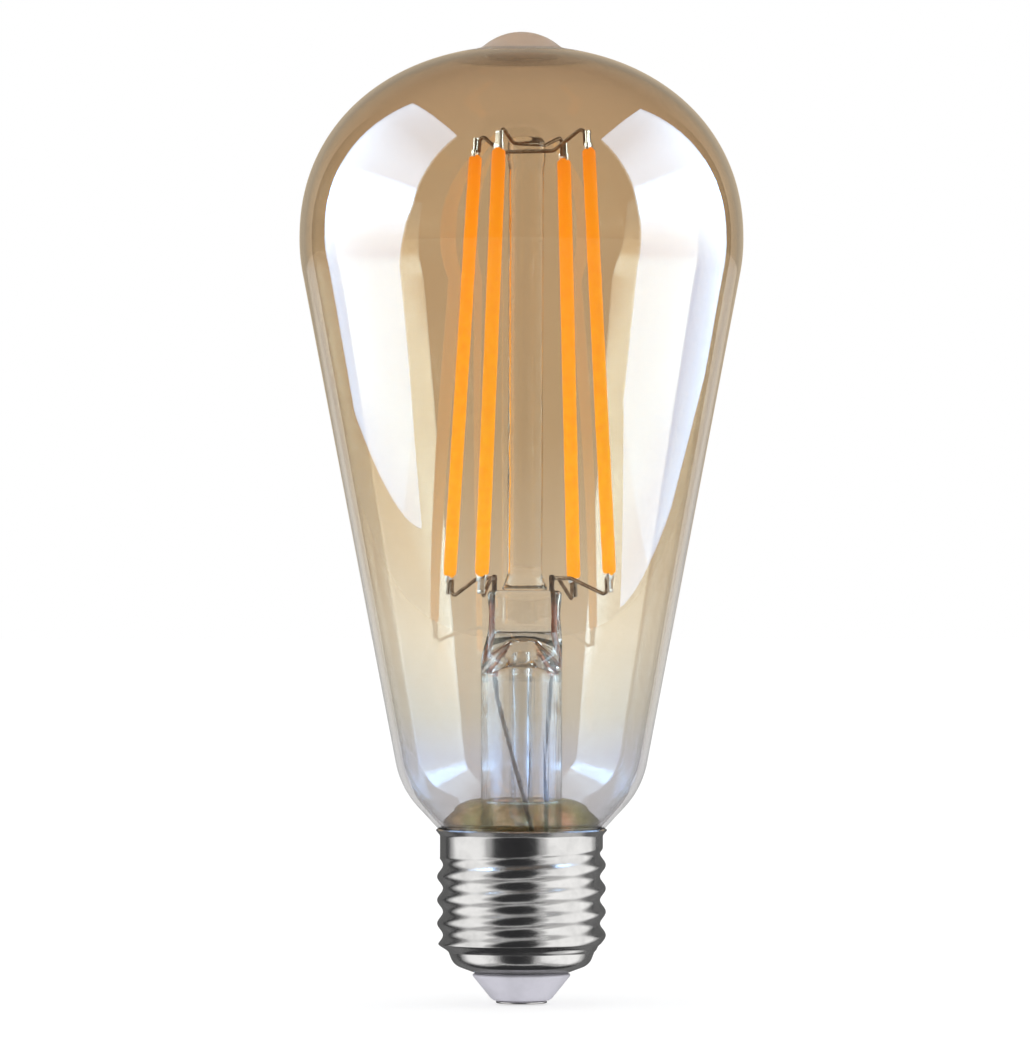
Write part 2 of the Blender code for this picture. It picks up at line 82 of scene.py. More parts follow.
NODES = frame["nodes"]

MM = 0.001
BODY = "root"
FILAMENTS = (1, 2, 3, 4)


def box_mm(node):
    low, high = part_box(node)
    return low / MM, high / MM


# ---------------------------------------------------------------------------------------------------
# Sizes, in millimetres. The outer ones are read from the frame.

GLASS_LOW, GLASS_HIGH = box_mm("glass_envelope")
GLASS_RADIUS = GLASS_HIGH.x
GLASS_TOP = GLASS_HIGH.z
NECK_END = GLASS_LOW.z
GLASS_WALL = 0.9
NECK_RADIUS = 11.4
DOME_FOOT, DOME_RISE, DOME_POWER = 118.4, 29.9, 2.15
TIP_RADIUS = 6.3
SHOULDER = (18.75, 33.3)  # where the cone and the neck's slope would meet

SHELL_LOW, SHELL_HIGH = box_mm("cap_shell")
THREAD_PITCH = 25.4 / 7
THREAD_DEPTH = 0.9
THREAD_MEAN_RADIUS = 12.63
THREAD_CREST_HEIGHT = 21.4
SHELL_WALL = 0.35
RIM_HEIGHT = 26.8

STEM_LOW, STEM_HIGH = box_mm("glass_stem")
STEM_RADIUS = 6.3
STEM_WALL = 0.9
PRESS_TOP = STEM_HIGH.z
PRESS_START, PRESS_FULL = 52.5, 58.0
PRESS_HALF_WIDTH, PRESS_HALF_DEPTH, PRESS_SHIFT = 5.8, 2.3, 0.5

ROD_LOW, ROD_HIGH = box_mm("centre_rod")
ROD_RADIUS = 2.7
ROD_LEAN = 0.3

COAT_WIDTH, COAT_DEPTH = 2.2, 2.0
STRIP_WIDTH, STRIP_DEPTH = 1.2, 0.35
ARM_RADIUS = 0.3
GAP = 0.1


# ---------------------------------------------------------------------------------------------------
# Outlines and paths


def filleted(corners, steps=10):
    """Points along a path whose corners are rounded. Each corner is (point, bend radius)."""
    points = [Vector(corners[0][0])]
    for (before, _), (corner, radius), (after, _) in zip(corners, corners[1:], corners[2:]):
        corner = Vector(corner)
        if radius == 0:
            points.append(corner)
            continue
        back = (Vector(before) - corner).normalized()
        ahead = (Vector(after) - corner).normalized()
        half = back.angle(ahead) / 2
        centre = corner + (back + ahead).normalized() * (radius / math.sin(half))
        start = corner + back * (radius / math.tan(half)) - centre
        end = corner + ahead * (radius / math.tan(half)) - centre
        points += [centre + start.slerp(end, k / steps).normalized() * radius for k in range(steps + 1)]
    return points + [Vector(corners[-1][0])]


def inset(outline, distance):
    """The outline moved inwards, to the right of an outline that runs down its outer side."""
    moved = []
    for i, point in enumerate(outline):
        along = outline[min(i + 1, len(outline) - 1)] - outline[max(i - 1, 0)]
        moved.append(point + Vector((along.y, -along.x)).normalized() * distance)
    return moved


def ease(value, start, end):
    """0 before start, 1 after end, smooth between them."""
    share = min(1.0, max(0.0, (value - start) / (end - start)))
    return share * share * (3 - 2 * share)


def divided(outline, longest):
    """The outline with extra points, so that no step is longer than that."""
    points = [outline[0]]
    for before, after in zip(outline, outline[1:]):
        count = max(1, math.ceil((after - before).length / longest))
        points += [before.lerp(after, k / count) for k in range(1, count + 1)]
    return points


# ---------------------------------------------------------------------------------------------------
# Making pieces


def new_piece(name, mesh, surface, slot, *replaced):
    """Adds a finished mesh as a piece of the lamp."""
    piece = bpy.data.objects.new(name, mesh)
    bpy.context.scene.collection.objects.link(piece)
    mesh.materials.clear()
    mesh.materials.append(surface)
    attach(piece, BODY)
    if replaced:
        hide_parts(*replaced)
    return piece


def shade_smooth(mesh, angle=40):
    mesh.shade_smooth()
    mesh.set_sharp_from_angle(angle=math.radians(angle))


def lathe(name, outline, sides=128, ring=False, move=None):
    """A turned mesh. The outline runs down its outer side. move changes each point, in millimetres."""
    mesh = bpy.data.meshes.new(name)
    build = bmesh.new()
    rows = []
    for radius, height in outline:
        if radius < 1e-6:
            rows.append([build.verts.new((0, 0, height))])
            continue
        turns = [2 * math.pi * k / sides for k in range(sides)]
        rows.append([build.verts.new((radius * math.cos(t), radius * math.sin(t), height)) for t in turns])
    pairs = list(zip(rows, rows[1:])) + ([(rows[-1], rows[0])] if ring else [])
    for upper, lower in pairs:
        for k in range(sides):
            after = (k + 1) % sides
            if len(upper) == 1:
                build.faces.new((upper[0], lower[k], lower[after]))
            elif len(lower) == 1:
                build.faces.new((upper[k], lower[0], upper[after]))
            else:
                build.faces.new((upper[k], lower[k], lower[after], upper[after]))
    for vertex in build.verts:
        if move:
            vertex.co = move(vertex.co)
        vertex.co *= MM
    build.to_mesh(mesh)
    build.free()
    shade_smooth(mesh)
    return mesh


def tube_mesh(name, points, radius, sides=14, flatten=None):
    """A closed tube along points, with rounded ends. radius may be a function of the share along it."""
    size = radius if callable(radius) else lambda share: radius
    path = [Vector(p) for p in points]
    lengths = [0.0]
    for before, after in zip(path, path[1:]):
        lengths.append(lengths[-1] + (after - before).length)
    total = lengths[-1]
    mesh = bpy.data.meshes.new(name)
    build = bmesh.new()
    normal = None
    rows = []
    for i, point in enumerate(path):
        along = (path[min(i + 1, len(path) - 1)] - path[max(i - 1, 0)]).normalized()
        if normal is None:
            normal = along.orthogonal().normalized()
        normal = (normal - along * normal.dot(along)).normalized()
        side = along.cross(normal)
        at = size(lengths[i] / total)
        caps = [(0.0, 1.0)]
        if i == 0:
            caps = [(-0.55, 0.45), (-0.3, 0.8), (0.0, 1.0)]
        elif i == len(path) - 1:
            caps = [(0.0, 1.0), (0.3, 0.8), (0.55, 0.45)]
        for push, shrink in caps:
            centre = point + along * (push * at)
            ring = []
            for k in range(sides):
                turn = 2 * math.pi * k / sides
                ring.append(centre + (normal * math.cos(turn) + side * math.sin(turn)) * (at * shrink))
            rows.append([build.verts.new(spot) for spot in ring])
    for before, after in zip(rows, rows[1:]):
        for k in range(sides):
            build.faces.new((before[k], before[(k + 1) % sides], after[(k + 1) % sides], after[k]))
    build.faces.new(rows[0][::-1])
    build.faces.new(rows[-1])
    for vertex in build.verts:
        if flatten:
            vertex.co = flatten(vertex.co)
        vertex.co *= MM
    build.to_mesh(mesh)
    build.free()
    shade_smooth(mesh, 60)
    return mesh


# ---------------------------------------------------------------------------------------------------
# Materials


class Nodes:
    """A short way to write a material's nodes."""

    def __init__(self, name):
        self.material = bpy.data.materials.new(name)
        self.material.use_nodes = True
        self.tree = self.material.node_tree
        self.shader = self.tree.nodes["Principled BSDF"]

    def add(self, kind, **values):
        node = self.tree.nodes.new(kind)
        for key, value in values.items():
            if hasattr(node, key) and key not in node.inputs:
                setattr(node, key, value)
            else:
                node.inputs[key.replace("_", " ")].default_value = value
        return node

    def link(self, source, target):
        self.tree.links.new(source, target)

    def set(self, **values):
        for key, value in values.items():
            self.shader.inputs[key.replace("_", " ")].default_value = value
        return self

    def position(self, scale=(1, 1, 1)):
        """The point on the surface in millimetres, stretched by scale."""
        place = self.add("ShaderNodeNewGeometry")
        stretch = self.add("ShaderNodeVectorMath", operation="MULTIPLY")
        stretch.inputs[1].default_value = [side / MM for side in scale]
        self.link(place.outputs["Position"], stretch.inputs[0])
        return stretch.outputs[0]

    def height(self):
        """The height of the point on the surface, in millimetres."""
        split = self.add("ShaderNodeSeparateXYZ")
        self.link(self.position(), split.inputs[0])
        return split.outputs["Z"]

    def noise(self, scale, detail=3.0, stretch=(1, 1, 1), roughness=0.55):
        """Noise between 0 and 1 with that many features per millimetre."""
        texture = self.add("ShaderNodeTexNoise", Scale=scale, Detail=detail, Roughness=roughness)
        self.link(self.position(stretch), texture.inputs["Vector"])
        return texture.outputs["Fac"]

    def ramp(self, value, stops):
        """A colour for each value: stops are (place from 0 to 1, colour)."""
        ramp = self.add("ShaderNodeValToRGB")
        elements = ramp.color_ramp.elements
        while len(elements) < len(stops):
            elements.new(0.5)
        for element, (place, colour) in zip(elements, stops):
            element.position = place
            element.color = (*colour, 1) if len(colour) == 3 else colour
        self.link(value, ramp.inputs["Fac"])
        return ramp.outputs["Color"]

    def span(self, value, low, high, out_low=0.0, out_high=1.0, smooth=False):
        """value mapped from low..high to out_low..out_high."""
        mapped = self.add("ShaderNodeMapRange")
        mapped.interpolation_type = "SMOOTHSTEP" if smooth else "LINEAR"
        for key, number in (("From Min", low), ("From Max", high), ("To Min", out_low), ("To Max", out_high)):
            mapped.inputs[key].default_value = number
        self.link(value, mapped.inputs["Value"])
        return mapped.outputs["Result"]

    def mix(self, share, first, second, blend="MIX"):
        """Two colours mixed. Each is a socket or a colour."""
        mixer = self.add("ShaderNodeMix", data_type="RGBA", blend_type=blend)
        for name, source in (("Factor", share), ("A", first), ("B", second)):
            kinds = ("RGBA", "VALUE")
            socket = next(s for s in mixer.inputs if s.name == name and s.type in kinds and s.enabled)
            if isinstance(source, (int, float)):
                socket.default_value = source
            elif isinstance(source, tuple):
                socket.default_value = (*source, 1)
            else:
                self.link(source, socket)
        return next(s for s in mixer.outputs if s.enabled)

    def bump(self, height, distance, strength=1.0):
        """Bump from a height between 0 and 1; distance is its depth in millimetres."""
        bump = self.add("ShaderNodeBump", Strength=strength, Distance=distance * MM)
        self.link(height, bump.inputs["Height"])
        self.link(bump.outputs["Normal"], self.shader.inputs["Normal"])

    def colour(self, source):
        self.link(source, self.shader.inputs["Base Color"])

    def roughness(self, source):
        self.link(source, self.shader.inputs["Roughness"])


def one_wall(colour):
    """The tint of one wall of the glass, where light that crosses both walls comes out as that colour."""
    return tuple(channel**0.5 for channel in colour)


def amber_glass():
    """Blown glass with a reflective vapour coat: amber from the top down, fading to clear above the neck."""
    n = Nodes("amber_glass")
    n.set(Transmission_Weight=1.0, IOR=1.8, Roughness=0.0)
    low, high = 20, 150
    seen_through = (
        (20, (0.52, 0.51, 0.53)),
        (38, (0.55, 0.53, 0.55)),
        (45, (0.61, 0.54, 0.43)),
        (57, (0.71, 0.58, 0.41)),
        (70, (0.66, 0.49, 0.30)),
        (88, (0.57, 0.38, 0.195)),
        (112, (0.57, 0.365, 0.18)),
        (128, (0.55, 0.36, 0.185)),
        (146, (0.53, 0.34, 0.185)),
        (150, (0.74, 0.38, 0.17)),
    )
    stops = [((z - low) / (high - low), one_wall(colour)) for z, colour in seen_through]
    coat = n.ramp(n.span(n.height(), low, high), stops)
    patches = n.span(n.noise(0.03, detail=2), 0.3, 0.7, 0.0, 0.08)
    n.colour(n.mix(patches, coat, one_wall((0.55, 0.36, 0.20))))
    n.bump(n.noise(0.035, detail=1, stretch=(1, 1, 0.35)), 0.25, strength=0.25)
    n.roughness(n.span(n.height(), 146.9, 147.9, 0.0, 0.6, smooth=True))
    n.link(n.span(n.height(), 146.9, 148.2, 1.0, 0.6, smooth=True), n.shader.inputs["Transmission Weight"])
    return n.material


def clear_glass(name="clear_glass", streaks=0.10, index=1.65):
    """Drawn tube: nearly colourless, with faint streaks along its length."""
    n = Nodes(name)
    n.set(Transmission_Weight=1.0, IOR=index, Roughness=0.0)
    tint = n.noise(0.35, detail=2, stretch=(1, 1, 0.08))
    n.colour(n.ramp(tint, [(0.3, (0.93, 0.93, 0.93)), (0.7, (0.98, 0.98, 0.98))]))
    n.bump(n.noise(0.9, detail=2, stretch=(1, 1, 0.06)), streaks, strength=0.5)
    return n.material


def phosphor(low, high):
    """Orange phosphor silicone: deep at the top and paler lower down, mottled, with a painted glow that
    brightens the unlit silicone.
    """
    n = Nodes("phosphor_silicone")
    n.set(Roughness=0.42, IOR=1.43, Subsurface_Weight=0.25, Subsurface_Scale=0.0012)
    n.set(Subsurface_Radius=(1.0, 0.45, 0.1), Coat_Weight=0.15, Coat_Roughness=0.25)
    height = n.span(n.height(), low, high)
    deep, bright, pale = (0.95, 0.30, 0.003), (1.0, 0.44, 0.003), (1.0, 0.51, 0.004)
    warm = (0.98, 0.37, 0.003)
    stops = [(0.0, bright), (0.08, pale), (0.35, pale), (0.65, bright), (0.9, warm), (1.0, deep)]
    along = n.ramp(height, stops)
    mottle = n.span(n.noise(0.8, detail=4), 0.35, 0.72, 0.0, 0.55)
    body = n.mix(mottle, along, (0.93, 0.34, 0.003))
    n.colour(body)
    # Painted glow: the body colour also goes out as emission, so the unlit filament reads brighter than the
    # studio lights make it.
    n.link(body, n.shader.inputs["Emission Color"])
    n.set(Emission_Strength=1.1)
    n.bump(n.noise(2.2, detail=3), 0.06, strength=0.4)
    return n.material


def nickel(name, roughness, colour=(0.80, 0.79, 0.775), grain=(1, 1, 9)):
    """Bright nickel plate with fine drawing lines, faint stains and rubbed places."""
    n = Nodes(name)
    n.set(Metallic=1.0)
    stain = n.noise(0.22, detail=4)
    dull = tuple(channel * 0.84 for channel in colour)
    n.colour(n.ramp(stain, [(0.35, dull), (0.6, colour)]))
    lines = n.noise(1.6, detail=4, stretch=grain)
    n.roughness(n.span(lines, 0.3, 0.75, roughness * 0.8, roughness * 1.3))
    n.bump(lines, 0.012, strength=0.1)
    return n.material


def oxidised_wire():
    """Nickel-iron wire browned by the flame, with brighter patches."""
    n = Nodes("oxidised_wire")
    n.set(Metallic=0.5)
    patches = n.noise(0.7, detail=4)
    browned, brown, bare = (0.20, 0.11, 0.06), (0.36, 0.24, 0.15), (0.55, 0.42, 0.30)
    n.colour(n.ramp(patches, [(0.32, browned), (0.55, brown), (0.75, bare)]))
    n.roughness(n.span(patches, 0.3, 0.7, 0.52, 0.30))
    n.bump(n.noise(5.0, detail=2), 0.02, strength=0.4)
    return n.material


def dumet_wire(low, high):
    """The lead-in wire: copper red where it is sealed in the press, dark and oxidised above it."""
    n = Nodes("dumet_wire")
    n.set(Metallic=0.9)
    patches = n.noise(0.9, detail=4)
    dark = n.ramp(patches, [(0.35, (0.075, 0.042, 0.028)), (0.65, (0.20, 0.12, 0.08))])
    red = n.ramp(patches, [(0.35, (0.42, 0.12, 0.06)), (0.65, (0.60, 0.22, 0.12))])
    n.colour(n.mix(n.span(n.height(), low, high, smooth=True), red, dark))
    n.roughness(n.span(patches, 0.3, 0.7, 0.45, 0.28))
    return n.material


def tinned_copper():
    n = Nodes("tinned_copper")
    n.set(Metallic=0.15)
    worn = n.noise(0.8, detail=4)
    n.colour(n.ramp(worn, [(0.36, (0.80, 0.66, 0.58)), (0.58, (0.95, 0.92, 0.90))]))
    n.roughness(n.span(worn, 0.3, 0.7, 0.22, 0.42))
    return n.material


def moulded(name, colour, roughness, grain=2.5, depth=0.02, coat=0.0):
    """Moulded plastic or a dipped part: an even colour with slight mottling and a fine skin."""
    n = Nodes(name)
    n.set(Coat_Weight=coat, Coat_Roughness=0.12)
    skin = n.noise(grain, detail=4)
    shadow = tuple(channel * 0.86 for channel in colour)
    n.colour(n.ramp(n.noise(0.25, detail=3), [(0.3, shadow), (0.6, colour)]))
    n.roughness(n.span(skin, 0.3, 0.7, roughness * 0.85, roughness * 1.2))
    n.bump(skin, depth, strength=0.3)
    return n.material


def basing_cement():
    """Phenolic cement: brown-olive, coarse and pitted."""
    n = Nodes("basing_cement")
    n.set(Roughness=0.85)
    grit = n.noise(1.4, detail=6, roughness=0.7)
    pit, olive, grain = (0.13, 0.085, 0.03), (0.27, 0.20, 0.075), (0.42, 0.27, 0.12)
    n.colour(n.ramp(grit, [(0.3, pit), (0.5, olive), (0.72, grain)]))
    n.bump(grit, 0.3, strength=0.7)
    return n.material


def circuit_board():
    """Solder mask over copper traces that run straight, with tinned pads."""
    n = Nodes("circuit_board")
    n.set(Coat_Weight=0.4, Coat_Roughness=0.1)
    traces = n.add("ShaderNodeTexBrick", offset=0.5, squash=1.0)
    n.link(n.position(), traces.inputs["Vector"])
    for key, value in (("Scale", 0.55), ("Mortar Size", 0.05), ("Brick Width", 1.7), ("Row Height", 0.6)):
        traces.inputs[key].default_value = value
    traces.inputs["Color1"].default_value = (0.012, 0.085, 0.035, 1)
    traces.inputs["Color2"].default_value = (0.014, 0.100, 0.042, 1)
    traces.inputs["Mortar"].default_value = (0.035, 0.20, 0.085, 1)
    n.colour(traces.outputs["Color"])
    n.roughness(n.span(n.noise(1.5), 0.3, 0.7, 0.3, 0.45))
    n.bump(traces.outputs["Fac"], 0.03, strength=0.3)
    return n.material


def winding_wire():
    """Enamelled copper turns laid side by side, with painted shade in the grooves between them."""
    n = Nodes("magnet_wire")
    n.set(Metallic=1.0)
    turns = n.add("ShaderNodeTexWave", wave_type="BANDS", bands_direction="Z", Scale=1.4, Distortion=0.6)
    n.link(n.position(), turns.inputs["Vector"])
    # Painted shade: the colour falls to deep brown where the bands are lowest, in the grooves that the bump
    # cuts between the turns.
    n.colour(n.ramp(turns.outputs["Fac"], [(0.0, (0.20, 0.05, 0.015)), (0.5, (0.70, 0.26, 0.10))]))
    n.roughness(n.span(n.noise(2.0), 0.3, 0.7, 0.2, 0.38))
    n.bump(turns.outputs["Fac"], 0.12, strength=0.8)
    return n.material


# ---------------------------------------------------------------------------------------------------
# Glass


def dome_height(radius):
    share = (radius / GLASS_RADIUS) ** DOME_POWER
    return DOME_FOOT + DOME_RISE * (1 - share) ** (1 / DOME_POWER)


def dome_outline(steps=56):
    points = []
    for k in range(steps):
        radius = GLASS_RADIUS * math.sin(math.pi / 2 * k / steps) ** (2 / DOME_POWER)
        points.append(Vector((radius, dome_height(radius))))
    return points + [Vector((GLASS_RADIUS, DOME_FOOT))]


def side_outline():
    corners = [
        ((GLASS_RADIUS, DOME_FOOT), 0),
        ((GLASS_RADIUS, 115.7), 28),
        (SHOULDER, 14),
        ((NECK_RADIUS, 25.4), 2.5),
        ((NECK_RADIUS, NECK_END), 0),
    ]
    return divided(filleted(corners, steps=14), 3.0)


def tip_outline(steps=12):
    """The drawn-off round bead, and the small hollow where it runs out into the dome."""
    edge = 2 * math.atan((GLASS_TOP - dome_height(TIP_RADIUS)) / TIP_RADIUS)
    bend = TIP_RADIUS / math.sin(edge)
    turns = [edge * k / steps for k in range(steps)]
    bead = [Vector((bend * math.sin(a), GLASS_TOP - bend * (1 - math.cos(a)))) for a in turns]
    run_out = [TIP_RADIUS + 0.25 * k for k in range(4)]
    return bead + [Vector((r, dome_height(r) + 0.1 * (TIP_RADIUS + 1 - r))) for r in run_out]


def make_envelope(surface):
    dome, side = dome_outline(), side_outline()
    tip = tip_outline()
    outer = tip + [point for point in dome[:-1] if point.x > tip[-1].x + 0.1] + side
    inner = inset(outer, GLASS_WALL)
    inner[0].x = 0.0
    mesh = lathe("lamp_glass", outer + inner[::-1], sides=160)
    new_piece("lamp_glass", mesh, surface, "amber_glass", "glass_envelope")


def make_neck_seal():
    """The khaki film that shows through the bottom of the glass: a low dome round the stem."""
    arc = [Vector((7.0 + 5.3 * k / 10, 31.4 - 3.2 * (k / 10) ** 2)) for k in range(11)]
    arc = arc + [Vector((11.6, 27.4)), Vector((11.0, 26.9))]
    outline = arc + inset(arc, 0.3)[::-1]
    n = Nodes("neck_seal")
    n.set(Roughness=0.05, Transmission_Weight=1.0, IOR=1.08)
    grit, stain = n.noise(0.4, detail=5, roughness=0.7), n.noise(0.14, detail=2)
    khaki = n.ramp(grit, [(0.36, (0.46, 0.43, 0.22)), (0.5, (0.70, 0.66, 0.40)), (0.62, (0.97, 0.93, 0.76))])
    n.colour(n.mix(n.span(stain, 0.50, 0.62, 0.0, 0.75), khaki, (0.95, 0.66, 0.52)))
    n.bump(grit, 0.4, strength=0.6)
    mesh = lathe("neck_seal", outline, sides=96, ring=True)
    new_piece("neck_seal", mesh, n.material, "basing_cement")


def press_squeeze(point):
    """The stem's section at that height, squeezed by the press into a flat block with soft edges."""
    x, y, z = point
    share = ease(z, PRESS_START, PRESS_FULL)
    wide = 1 + share * (PRESS_HALF_WIDTH / STEM_RADIUS - 1)
    deep = 1 + share * (PRESS_HALF_DEPTH / STEM_RADIUS - 1)
    waist = 1 - 0.05 * math.sin(math.pi * ease(z, PRESS_FULL - 2, PRESS_TOP)) * share
    return Vector((x * wide * waist + share * PRESS_SHIFT, y * deep, z))


def make_stem(surface):
    flare_end, flare_bottom = STEM_HIGH.x, STEM_LOW.z
    block = [((0, PRESS_TOP), 0), ((STEM_RADIUS, PRESS_TOP), 0.8), ((STEM_RADIUS, PRESS_FULL), 0)]
    tube = [((STEM_RADIUS, PRESS_START), 0), ((STEM_RADIUS, 24.5), 9), ((flare_end, flare_bottom), 0)]
    outer = divided(filleted(block, steps=6) + filleted(tube), 1.0)
    cavity = filleted(
        [
            ((flare_end - STEM_WALL, flare_bottom), 0),
            ((STEM_RADIUS - STEM_WALL, 24.2), 9.9),
            ((STEM_RADIUS - STEM_WALL, 51.5), 2.5),
            ((2.2, 55.5), 1.0),
            ((0, 56.0), 0),
        ]
    )
    mesh = lathe("stem_glass", outer + divided(cavity, 1.0), sides=72, move=press_squeeze)
    new_piece("stem_glass", mesh, surface, "clear_glass", "glass_stem")


def rod_shift(height):
    share = (height - PRESS_TOP) / (ROD_HIGH.z - PRESS_TOP)
    return PRESS_SHIFT + ROD_LEAN * share


def make_rod(surface):
    top, foot = ROD_HIGH.z, ROD_LOW.z
    head = ROD_RADIUS + 0.25
    corners = [
        ((0, top), 0),
        ((head, top), 1.2),
        ((head, 130.6), 1.0),
        ((ROD_RADIUS, 129.2), 1.0),
        ((ROD_RADIUS, foot + 2.2), 2.5),
        ((ROD_RADIUS + 0.9, foot), 0.2),
        ((0, foot), 0),
    ]
    outline = divided(filleted(corners, steps=6), 1.5)

    def lean(point):
        swell = 1 + 0.02 * noise.noise(Vector((point.z * 0.25, 0, 0)))
        return Vector((point.x * swell + rod_shift(point.z), point.y * swell, point.z))

    mesh = lathe("rod_glass", outline, sides=48, move=lean)
    new_piece("rod_glass", mesh, surface, "clear_glass", "centre_rod")


def make_exhaust_tube(surface):
    low, high = box_mm("exhaust_tube")
    radius, bore = high.x, 1.0
    outline = [(0, low.z + 2.4), (bore, low.z + 3.4), (bore, high.z), (radius, high.z)]
    outline = [Vector(point) for point in outline]
    outline += filleted([((radius, high.z - 5), 0), ((radius, low.z + 1.6), 2.0), ((0, low.z), 0)], steps=8)
    mesh = lathe("pump_tube", divided(outline, 1.5), sides=40)
    new_piece("pump_tube", mesh, surface, "clear_glass", "exhaust_tube")


# ---------------------------------------------------------------------------------------------------
# Filaments and their wires


class Filament:
    """Where the frame's filament stands: its two ends, its direction and the way that its strip faces."""

    def __init__(self, number, hub):
        points = [v.co / MM for v in NODES[f"filament_{number}_strip"].data.vertices]
        top, bottom = max(p.z for p in points), min(p.z for p in points)
        self.number = number
        self.high = average([p for p in points if p.z > top - 1])
        self.low = average([p for p in points if p.z < bottom + 1])
        self.middle = (self.low + self.high) / 2
        self.up = (self.high - self.low).normalized()
        coat_low, coat_high = box_mm(f"filament_{number}_phosphor")
        self.half_coat = (coat_high.z - coat_low.z) / 2 - 0.05
        outward = ((self.middle - hub) * Vector((1, 1, 0))).normalized()
        self.facing = (outward - self.up * outward.dot(self.up)).normalized()
        self.across = self.up.cross(self.facing)

    def at(self, across, facing, along):
        """A point given across the strip, towards the way it faces and up from its middle."""
        return self.middle + self.across * across + self.facing * facing + self.up * along

    @property
    def half_strip(self):
        return (self.high - self.low).length / 2


def average(points):
    return sum(points, Vector()) / len(points)


def filaments():
    centres = [average([v.co / MM for v in NODES[f"filament_{k}_strip"].data.vertices]) for k in FILAMENTS]
    hub = average(centres)
    return [Filament(k, hub) for k in FILAMENTS]


def coat_mesh(filament):
    """The silicone bar: an oval section that closes in at both ends, with the dispenser's slight waves."""
    rows, sides = 120, 24
    mesh = bpy.data.meshes.new("coat")
    build = bmesh.new()
    rings = []
    for k in range(rows + 1):
        share = k / rows
        along = filament.half_coat * (2 * share - 1)
        from_end = filament.half_coat - abs(along)
        round_off = math.sqrt(max(0.0, 1 - (1 - min(1.0, from_end / 0.9)) ** 2)) * 0.55 + 0.45
        ring = []
        for s in range(sides):
            turn = 2 * math.pi * s / sides
            wave = 1 + 0.035 * noise.noise(Vector((along * 0.45, filament.number * 7, math.cos(turn))))
            across = COAT_WIDTH / 2 * math.cos(turn) * round_off * wave
            out = COAT_DEPTH / 2 * math.sin(turn) * round_off * wave
            ring.append(build.verts.new(filament.at(across, out, along) * MM))
        rings.append(ring)
    for before, after in zip(rings, rings[1:]):
        for s in range(sides):
            build.faces.new((before[s], before[(s + 1) % sides], after[(s + 1) % sides], after[s]))
    build.faces.new(rings[0][::-1])
    build.faces.new(rings[-1])
    bmesh.ops.recalc_face_normals(build, faces=build.faces)
    build.to_mesh(mesh)
    build.free()
    shade_smooth(mesh, 50)
    return mesh


def tab_mesh(filament):
    """The strip with a crimped metal terminal at each end: a folded collar, then a flat tongue."""
    mesh = bpy.data.meshes.new("tab")
    build = bmesh.new()
    half = filament.half_strip

    def block(width, depth, start, end, taper=1.0):
        corners = []
        for along, share in ((start, 1.0), (end, taper)):
            for a, f in ((1, 1), (-1, 1), (-1, -1), (1, -1)):
                corners.append(build.verts.new(filament.at(a * width / 2 * share, f * depth / 2, along)))
        low, high = corners[:4], corners[4:]
        build.faces.new(low[::-1])
        build.faces.new(high)
        for k in range(4):
            build.faces.new((low[k], low[(k + 1) % 4], high[(k + 1) % 4], high[k]))

    block(STRIP_WIDTH, STRIP_DEPTH, -half + 0.05, half - 0.05)
    for way in (-1, 1):
        collar = filament.half_coat
        block(STRIP_WIDTH + 0.35, STRIP_DEPTH + 0.3, way * (collar - 0.4), way * (collar + 0.75), 0.94)
        block(STRIP_WIDTH + 0.12, STRIP_DEPTH + 0.12, way * (half - 0.5), way * half, 0.7)
    bmesh.ops.recalc_face_normals(build, faces=build.faces)
    bmesh.ops.bevel(build, geom=build.edges[:], offset=0.05, segments=2, affect="EDGES", profile=0.5)
    for vertex in build.verts:
        vertex.co *= MM
    build.to_mesh(mesh)
    build.free()
    shade_smooth(mesh, 35)
    return mesh


def make_filaments(set_of, coat_surface, metal):
    for filament in set_of:
        k = filament.number
        coat, strip = f"filament_{k}_phosphor", f"filament_{k}_strip"
        new_piece(f"filament_{k}_coat", coat_mesh(filament), coat_surface, "phosphor_silicone", coat)
        new_piece(f"filament_{k}_terminals", tab_mesh(filament), metal, "nickel_plate", strip)


def smooth_path(points, steps=8):
    """A smooth curve through the points (Catmull-Rom)."""
    path = [Vector(p) for p in points]
    padded = [path[0] * 2 - path[1], *path, path[-1] * 2 - path[-2]]
    curve = []
    for a, b, c, d in zip(padded, padded[1:], padded[2:], padded[3:]):
        for k in range(steps):
            t = k / steps
            bend, twist = 2 * a - 5 * b + 4 * c - d, 3 * b - a - 3 * c + d
            curve.append(0.5 * (2 * b + (c - a) * t + bend * t * t + twist * t**3))
    return curve + [path[-1]]


def behind_tab(filament, along):
    return filament.at(0, -(STRIP_DEPTH / 2 + ARM_RADIUS + GAP / 2 + 0.06), along)


def make_bridges(set_of, surface):
    """The wires over the top: round one filament's terminal, through the rod's head, to the one opposite."""
    for near, far, height in ((0, 3, 132.0), (1, 2, 133.1)):
        halves = []
        for filament in (set_of[near], set_of[far]):
            half = filament.half_strip
            head = Vector((rod_shift(height), 0, height))
            hook = behind_tab(filament, half + 0.7)
            outward = ((hook - head) * Vector((1, 1, 0))).normalized()
            leave = head + outward * (ROD_RADIUS + 2.0)
            halves.append([(behind_tab(filament, half - 2.2), 0), (hook, 0.7), (leave, 1.5)])
        path = filleted(halves[0] + halves[1][::-1], steps=8)
        name = f"bridge_wire_{near + 1}_{far + 1}"
        mesh = tube_mesh("top_" + name, path, ARM_RADIUS)
        new_piece("top_" + name, mesh, surface, "oxidised_wire", name)


